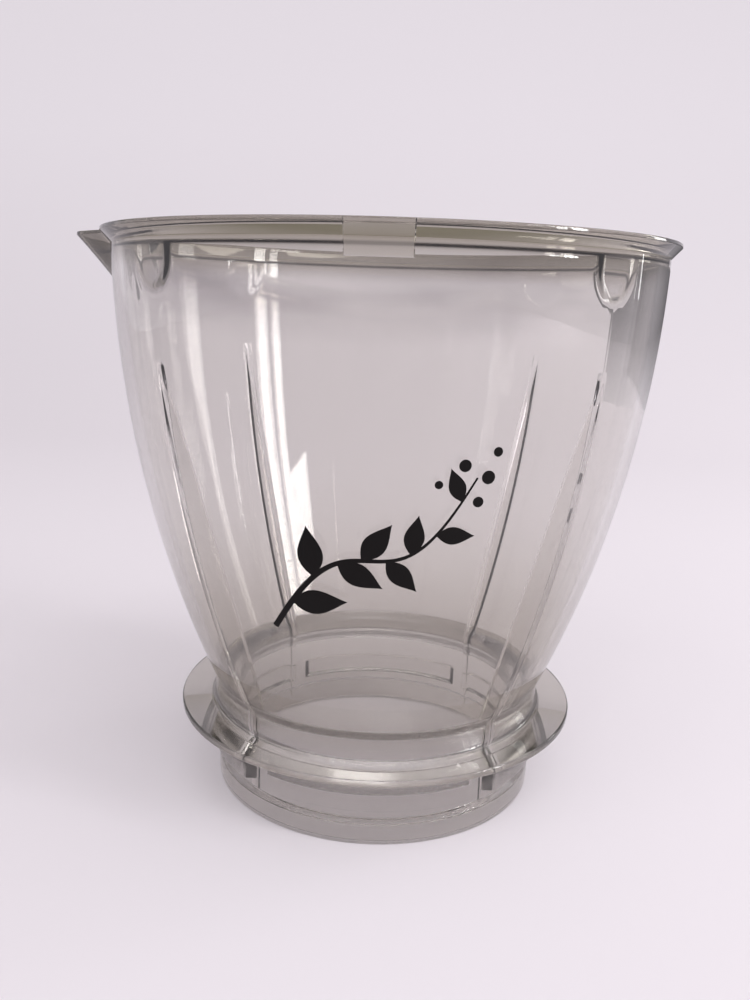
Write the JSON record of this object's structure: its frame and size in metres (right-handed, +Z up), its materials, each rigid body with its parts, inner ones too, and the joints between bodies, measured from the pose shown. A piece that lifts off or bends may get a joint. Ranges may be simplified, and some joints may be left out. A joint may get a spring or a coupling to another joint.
{
  "type": "blender jar",
  "caption": "Clear moulded blender jar: tulip wall, flared rim with a pouring spout, flow ribs inside, skirt flange and a bayonet neck open below for the blade base.",
  "frame": {"origin": "on the jar's axis, in the plane of the neck's bottom edge, which it stands on", "axes": "+Z up along the jar's axis, -Y the printed front, -X the pouring spout"},
  "size_m": [0.1568, 0.1466, 0.1482],
  "materials": {
    "clear_plastic": "clear, glossy, faintly smoky moulded plastic with fine scuffs",
    "print_ink": "black screen-printed ink, satin"
  },
  "bodies": {
    "root": {"jar": "clear_plastic"}
  },
  "joints": []
}
